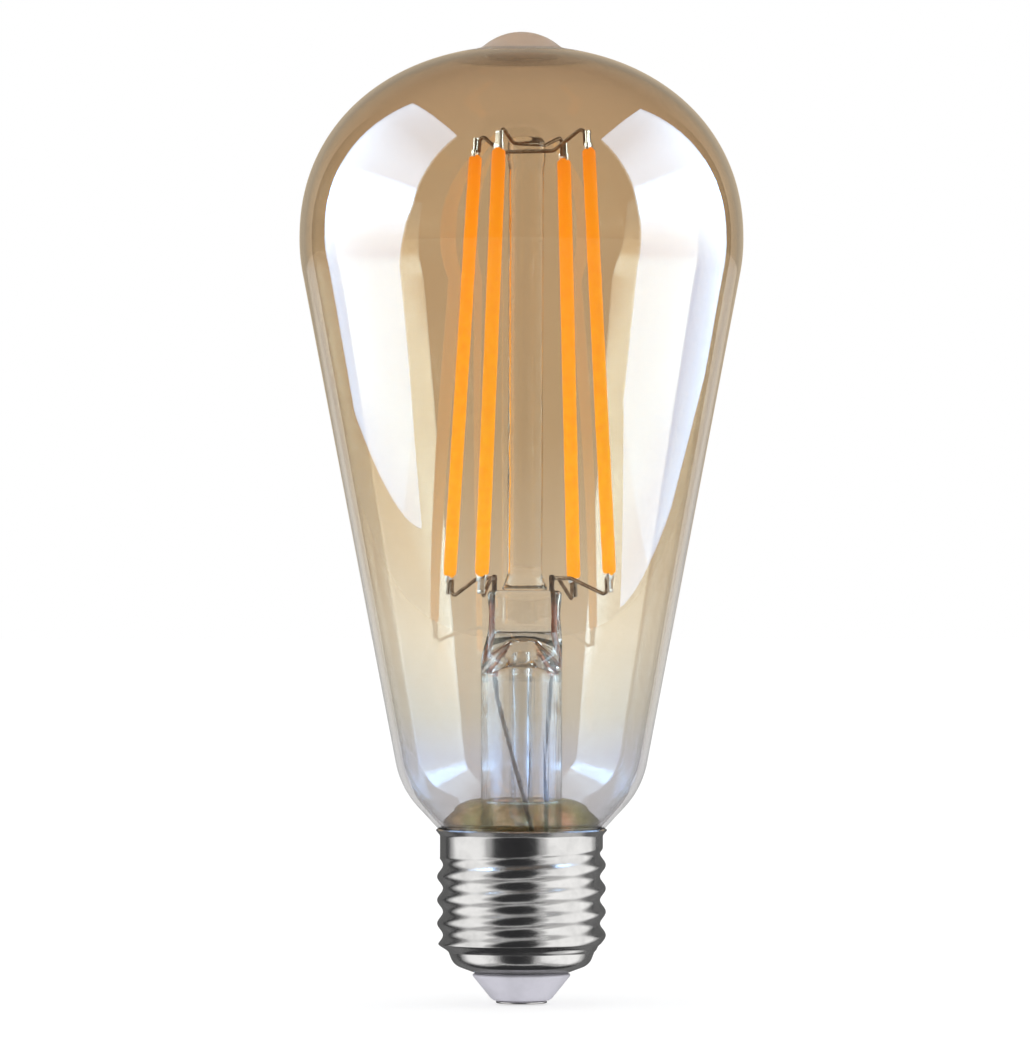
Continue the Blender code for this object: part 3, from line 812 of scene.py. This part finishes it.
def make_lead_ins(surface):
    for side in ("left", "right"):
        low, high = box_mm(f"lead_in_wire_{side}")
        x, radius = (low.x + high.x) / 2, (high.x - low.x) / 2
        way = -1 if side == "left" else 1
        points = [(x, 0, low.z), (x, 0, 56), (x + 0.05 * way, 0.05, 60), (x, 0, 63.5), (x, 0, high.z - 0.2)]
        path = smooth_path(points, steps=10)
        swell = lambda share: radius * (1 + 0.06 * math.sin(share * 40))
        mesh = tube_mesh(f"seal_wire_{side}", path, swell, sides=16)
        new_piece(f"seal_wire_{side}", mesh, surface, "oxidised_wire", f"lead_in_wire_{side}")


def make_arms(set_of, surface):
    """The arms from the lead-in wires: out from beside the lead-in wire, and up behind the terminal."""
    for filament in set_of:
        side = "left" if filament.low.x < 0 else "right"
        low, high = box_mm(f"lead_in_wire_{side}")
        x, lead_radius = (low.x + high.x) / 2, (high.x - low.x) / 2
        half = filament.half_strip
        lead = Vector((x, 0, high.z - 0.5))
        hook = behind_tab(filament, -half - 0.5)
        outward = ((hook - lead) * Vector((1, 1, 0))).normalized()
        start = lead + outward * (lead_radius + ARM_RADIUS + GAP)
        end = behind_tab(filament, -half + 2.2)
        corners = [(start, 0), (start + outward * 3.0, 1.0), (hook, 0.7), (end, 0)]
        name = f"lower_arm_{filament.number}"
        mesh = tube_mesh("arm_wire", filleted(corners, steps=8), ARM_RADIUS)
        new_piece(f"arm_wire_{filament.number}", mesh, surface, "oxidised_wire", name)


def make_outer_leads(surface):
    board_top = box_mm("driver_board")[1].z
    for side, bends in (
        ("left", [(-3.6, -1.0, 47), (-1.0, -3.0, 37), (1.6, -3.4, 27), (2.4, -3.6, 21)]),
        ("right", [(4.4, 0.6, 46), (3.9, 1.6, 38), (3.8, 0.6, 30), (4.2, -0.8, 23)]),
    ):
        low, high = box_mm(f"lead_in_wire_{side}")
        x = (low.x + high.x) / 2
        last = bends[-1]
        points = [(x, 0, low.z - 0.4), *bends, (last[0], last[1], board_top + 0.4)]
        mesh = tube_mesh("flex_lead", smooth_path(points, steps=12), 0.34)
        new_piece(f"flex_lead_{side}", mesh, surface, "tinned_copper", f"outer_lead_{side}")


# ---------------------------------------------------------------------------------------------------
# Cap


def thread_rise(angle, height):
    """How far the rolled, right-hand thread stands out from the mean radius."""
    turn = 2 * math.pi * (height - THREAD_CREST_HEIGHT) / THREAD_PITCH - angle
    rise = THREAD_DEPTH / 2 * math.cos(turn)
    above = ease(height, THREAD_CREST_HEIGHT + THREAD_PITCH * 0.2, THREAD_CREST_HEIGHT + THREAD_PITCH * 0.35)
    rise = rise * (1 - above) + min(rise, 0.0) * above
    return rise * ease(height, 8.0, 9.2) * (1 - ease(height, 23.2, 24.3))


def shell_outline():
    """The shell at its mean radius, from the rim's lip down to the insulator."""
    corners = [
        ((SHELL_HIGH.x, RIM_HEIGHT), 0),
        ((THREAD_MEAN_RADIUS, 26.0), 0.6),
        ((THREAD_MEAN_RADIUS, 9.2), 0.3),
        ((11.3, 7.9), 0.3),
        ((10.55, 5.95), 2.4),
        ((7.35, SHELL_LOW.z), 0),
    ]
    return divided(filleted(corners, steps=8), 0.2)


def make_shell(surface):
    outer = shell_outline()
    inner = inset(outer, SHELL_WALL)

    def thread(point):
        radius = math.hypot(point.x, point.y)
        share = 1 + thread_rise(math.atan2(point.y, point.x), point.z) / radius
        return Vector((point.x * share, point.y * share, point.z))

    mesh = lathe("screw_shell", outer + inner[::-1], sides=128, ring=True, move=thread)
    new_piece("screw_shell", mesh, surface, "nickel_plate", "cap_shell")


def make_insulator(surface):
    low, high = box_mm("cap_insulator")
    outline = filleted(
        [
            ((5, high.z), 0),
            ((8.4, high.z), 0.3),
            ((8.4, 6.3), 0.3),
            ((7.05, 5.6), 0.2),
            ((7.05, 4.62), 0.1),
            ((7.8, 4.5), 0.25),
            ((4.75, 0.75), 0.5),
            ((4.3, low.z), 0.1),
            ((0.95, low.z), 0.1),
            ((0.95, high.z), 0.1),
            ((5, high.z), 0),
        ],
        steps=6,
    )
    mesh = lathe("insulator_cone", outline[:-1], sides=96, ring=True)
    new_piece("insulator_cone", mesh, surface, "white_insulator", "cap_insulator")


def make_contact(surface):
    low, high = box_mm("centre_contact")
    radius = high.x
    outline = filleted(
        [
            ((0, high.z), 0),
            ((0.8, high.z), 0.15),
            ((0.8, 0.35), 0.1),
            ((radius - 0.1, 0.35), 0.12),
            ((radius, 0.12), 0.1),
            ((radius - 0.15, low.z), 0.1),
            ((0, low.z), 0),
        ],
        steps=5,
    )
    mesh = lathe("bottom_contact", divided(outline, 0.4), sides=72)
    new_piece("bottom_contact", mesh, surface, "nickel_plate", "centre_contact")


# ---------------------------------------------------------------------------------------------------
# Parts that keep their CAD shape


def assign(surface, *nodes):
    for node in nodes:
        slots = NODES[node].data.materials
        slots.clear()
        slots.append(surface)


def dress_driver(metal, copper):
    assign(circuit_board(), "driver_board", "wireless_board")
    assign(basing_cement(), "neck_cement")
    assign(moulded("liner_plastic", (0.72, 0.70, 0.64), 0.5), "insulating_liner")
    assign(moulded("capacitor_sleeve", (0.02, 0.03, 0.09), 0.3, coat=0.5), "bulk_capacitor")
    assign(moulded("ferrite", (0.035, 0.035, 0.037), 0.62, grain=4.0, depth=0.04), "inductor_core")
    assign(winding_wire(), "inductor_winding")
    assign(moulded("resistor_body", (0.10, 0.20, 0.30), 0.4, coat=0.3), "fusible_resistor")
    assign(moulded("black_epoxy", (0.012, 0.012, 0.013), 0.45), "bridge_rectifier", "driver_chip")
    assign(moulded("film_capacitor", (0.45, 0.20, 0.05), 0.35, coat=0.4), "input_capacitor")
    assign(moulded("header_plastic", (0.015, 0.015, 0.016), 0.4), "module_header")
    assign(metal, "module_shield")
    assign(copper, "resistor_pin", "centre_wire", "shell_wire", "module_aerial")


# ---------------------------------------------------------------------------------------------------
# Studio


CAMERA_DISTANCE = 1.2  # metres in front of the lamp's axis
CAMERA_HEIGHT = 73.3  # millimetres above the floor
SHOWN_HEIGHT = 164.3  # how much of the height the picture takes in at the lamp, in millimetres


def aim(obj, target):
    direction = Vector(target) - obj.location
    obj.rotation_mode = "QUATERNION"
    obj.rotation_quaternion = direction.to_track_quat("-Z", "Y")


def around(azimuth, distance, height):
    """A place at that azimuth from the camera's side (positive to the right), distance and height."""
    turn = math.radians(azimuth)
    return Vector((math.sin(turn) * distance, -math.cos(turn) * distance, height))


def card(name, corners, radiance, lit, transmitted=True):
    """A glowing card with those corners, in millimetres.

    It shows only in the reflections of the pieces in lit, and is clear where it is seen straight through
    them. radiance is a list of (height in millimetres, radiance, colour), smooth between them.
    """
    mesh = bpy.data.meshes.new(name)
    mesh.from_pydata([Vector(place) * MM for place in corners], [], [range(len(corners))])
    glow = Nodes(name)
    glow.set(Base_Color=(0, 0, 0, 1), Specular_IOR_Level=0.0)
    low, high = radiance[0][0], radiance[-1][0]
    most = max(strength for _, strength, _ in radiance)
    stops = []
    for z, strength, colour in radiance:
        stops.append(((z - low) / (high - low), tuple(channel * strength / most for channel in colour)))
    glow.link(glow.ramp(glow.span(glow.height(), low, high), stops), glow.shader.inputs["Emission Color"])
    glow.set(Emission_Strength=most)
    path, clear = glow.add("ShaderNodeLightPath"), glow.add("ShaderNodeBsdfTransparent")
    seen = glow.add("ShaderNodeMixShader")
    glow.link(path.outputs["Glossy Depth"], seen.inputs[0])
    glow.link(clear.outputs[0], seen.inputs[1])
    glow.link(glow.shader.outputs[0], seen.inputs[2])
    glow.link(seen.outputs[0], glow.tree.nodes["Material Output"].inputs["Surface"])
    glow.material.cycles.emission_sampling = "NONE"
    mesh.materials.append(glow.material)
    shape = bpy.data.objects.new(name, mesh)
    bpy.context.scene.collection.objects.link(shape)
    shape.visible_camera = False
    shape.visible_diffuse = False
    shape.visible_shadow = False
    shape.visible_transmission = transmitted
    shape.light_linking.receiver_collection = lit


def area_light(name, place, target, size, radiance, colour, lit):
    """A rectangular light, seen only in the reflections of the pieces in lit. It hides nothing behind it."""
    light = bpy.data.lights.new(name, "AREA")
    light.shape = "RECTANGLE"
    light.size, light.size_y = size
    light.energy = radiance * math.pi * light.size * light.size_y
    light.color = colour
    lamp = bpy.data.objects.new(name, light)
    lamp.location = place
    bpy.context.scene.collection.objects.link(lamp)
    aim(lamp, target)
    lamp.visible_camera = False
    lamp.visible_diffuse = False
    lamp.light_linking.receiver_collection = lit


def panel(name, azimuth, distance, heights, width, radiance, colour, lit):
    """An upright area light round the lamp."""
    middle = (heights[0] + heights[1]) / 2
    size = (width, heights[1] - heights[0])
    area_light(name, around(azimuth, distance, middle), (0, 0, middle), size, radiance, colour, lit)


def group(name, pieces):
    collection = bpy.data.collections.new(name)
    for piece in pieces:
        collection.objects.link(piece)
    return collection


def make_lights():
    """Two tall softboxes and a warm wall behind for the glass, and panels beside, above and below the cap."""
    pieces = [o for o in bpy.data.objects if o.type == "MESH" and "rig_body" in o]
    capping = ("screw_shell", "bottom_contact", "insulator_cone")
    cap = group("cap_pieces", [o for o in pieces if o.name in capping])
    glass = group("glass_pieces", [o for o in pieces if o.name not in capping])
    cool, cooler, blue = (0.52, 0.72, 1.0), (0.39, 0.61, 1.0), (0.33, 0.575, 1.0)
    warm, neutral = (1.0, 0.82, 0.59), (1.0, 1.0, 1.0)
    left = [(-255, -200, 595), (-275, -180, 195), (-300, -135, 10), (-302, -110, -20)]
    left += [(-285, 140, 40), (-245, 175, 510)]
    right = [(280, -160, 525), (285, -155, 0), (310, -70, -30)]
    right += [(285, 130, 20), (245, 195, 60), (255, 165, 470)]
    softbox = [(-30, 3.8, cooler), (60, 4.3, cooler), (120, 5.6, cool), (150, 7.0, cool), (178, 19.0, blue)]
    softbox += [(222, 19.0, blue), (252, 6.0, cool), (300, 6.0, cool), (420, 4.2, cool), (600, 4.4, cool)]
    card("softbox_left", left, softbox, glass)
    card("softbox_right", right, softbox, glass)
    behind = [(-1300, 1500, -600), (1300, 1500, -600), (1300, 1500, 1800), (-1300, 1500, 1800)]
    wall = [(-600, 0.7, neutral), (-30, 0.7, neutral), (70, 0.68, warm)]
    wall += [(500, 0.68, warm), (1800, 0.05, warm)]
    card("wall_behind", behind, wall, glass, transmitted=False)
    # Each side has a bright core in front of a larger, weaker panel, so that its edges look soft.
    cores, edges = ("core", 0.19, 0.25, 0.75, 0.55), ("edge", 0.21, 0.5, 1.25, 0.45)
    for name, distance, half, share, radiance in (cores, edges):
        heights = (0.015 - half, 0.015 + half)
        panel("cap_left_" + name, -80, distance, heights, 0.27 * share, 1.0 * radiance, neutral, cap)
        panel("cap_right_" + name, 76, distance, heights, 0.43 * share, 1.05 * radiance, neutral, cap)
    panel("cap_back", 180, 0.60, (-0.6, 0.8), 1.2, 0.13, neutral, cap)
    for name, height in (("cap_above", 0.2), ("cap_below", -0.17)):
        area_light(name, (0.0, -0.07, height), (0, 0, 15 * MM), (0.16, 0.022), 0.7, neutral, cap)


def make_world():
    """White behind the lamp and through its glass, dark in reflections, and grey in those inside it."""
    world = bpy.data.worlds.new("studio")
    bpy.context.scene.world = world
    world.use_nodes = True
    tree = world.node_tree
    backdrop = tree.nodes["Background"]
    backdrop.inputs["Color"].default_value = (1, 1, 1, 1)
    room = tree.nodes.new("ShaderNodeBackground")
    path = tree.nodes.new("ShaderNodeLightPath")
    level = tree.nodes.new("ShaderNodeValToRGB")
    dark, grey = (0.03, 0.03, 0.032, 1), (0.29, 0.28, 0.27, 1)
    level.color_ramp.elements[0].color = dark
    level.color_ramp.elements[1].color = grey
    tree.links.new(path.outputs["Transmission Depth"], level.inputs["Fac"])
    tree.links.new(level.outputs["Color"], room.inputs["Color"])
    mix = tree.nodes.new("ShaderNodeMixShader")
    tree.links.new(path.outputs["Glossy Depth"], mix.inputs["Fac"])
    tree.links.new(backdrop.outputs[0], mix.inputs[1])
    tree.links.new(room.outputs[0], mix.inputs[2])
    tree.links.new(mix.outputs[0], tree.nodes["World Output"].inputs["Surface"])


def make_floor():
    """A large pale floor under the contact. It glows a little, so that it reads as white as the backdrop."""
    mesh = bpy.data.meshes.new("floor")
    build = bmesh.new()
    bmesh.ops.create_circle(build, cap_ends=True, segments=96, radius=4.0)
    build.to_mesh(mesh)
    build.free()
    floor = bpy.data.objects.new("floor", mesh)
    floor.location.z = CAD_BOX[0][2] - 0.0002
    bpy.context.scene.collection.objects.link(floor)
    n = Nodes("pale_floor")
    n.set(Roughness=0.9, Specular_IOR_Level=0.0, Emission_Color=(1, 1, 1, 1), Emission_Strength=0.6)
    n.colour(n.ramp(n.noise(0.02), [(0.3, (0.46, 0.46, 0.46)), (0.7, (0.50, 0.50, 0.50))]))
    mesh.materials.append(n.material)
    floor.visible_glossy = False
    floor.visible_shadow = False


def make_camera():
    """Level, a little over a metre in front, and aimed just left of the lamp's axis."""
    camera = bpy.data.cameras.new("camera")
    camera.lens = camera.sensor_width * CAMERA_DISTANCE / (SHOWN_HEIGHT * MM)
    view = bpy.data.objects.new("camera", camera)
    view.location = (-1.0 * MM, -CAMERA_DISTANCE, CAMERA_HEIGHT * MM)
    bpy.context.scene.collection.objects.link(view)
    aim(view, (view.location.x, 0, view.location.z))
    bpy.context.scene.camera = view


def make_studio():
    make_world()
    make_floor()
    make_camera()
    make_lights()
    scene = bpy.context.scene
    scene.view_settings.view_transform = "Standard"
    scene.cycles.max_bounces = 28
    scene.cycles.transmission_bounces = 24
    scene.cycles.glossy_bounces = 8
    scene.cycles.transparent_max_bounces = 16


def main():
    glass = clear_glass()
    wires, metal, copper = oxidised_wire(), nickel("nickel_tab", 0.2, grain=(1, 1, 0.3)), tinned_copper()
    set_of = filaments()
    coat_low, coat_high = box_mm("filament_1_phosphor")
    make_envelope(amber_glass())
    make_stem(glass)
    make_rod(clear_glass("rod_glass", streaks=0.2, index=1.32))
    make_exhaust_tube(glass)
    make_neck_seal()
    make_filaments(set_of, phosphor(coat_low.z, coat_high.z), metal)
    make_bridges(set_of, wires)
    make_lead_ins(dumet_wire(60.5, 63.0))
    make_arms(set_of, wires)
    make_outer_leads(copper)
    make_shell(nickel("nickel_plate", 0.2))
    make_insulator(moulded("white_insulator", (0.64, 0.63, 0.70), 0.35))
    make_contact(metal)
    dress_driver(metal, copper)
    make_studio()


main()
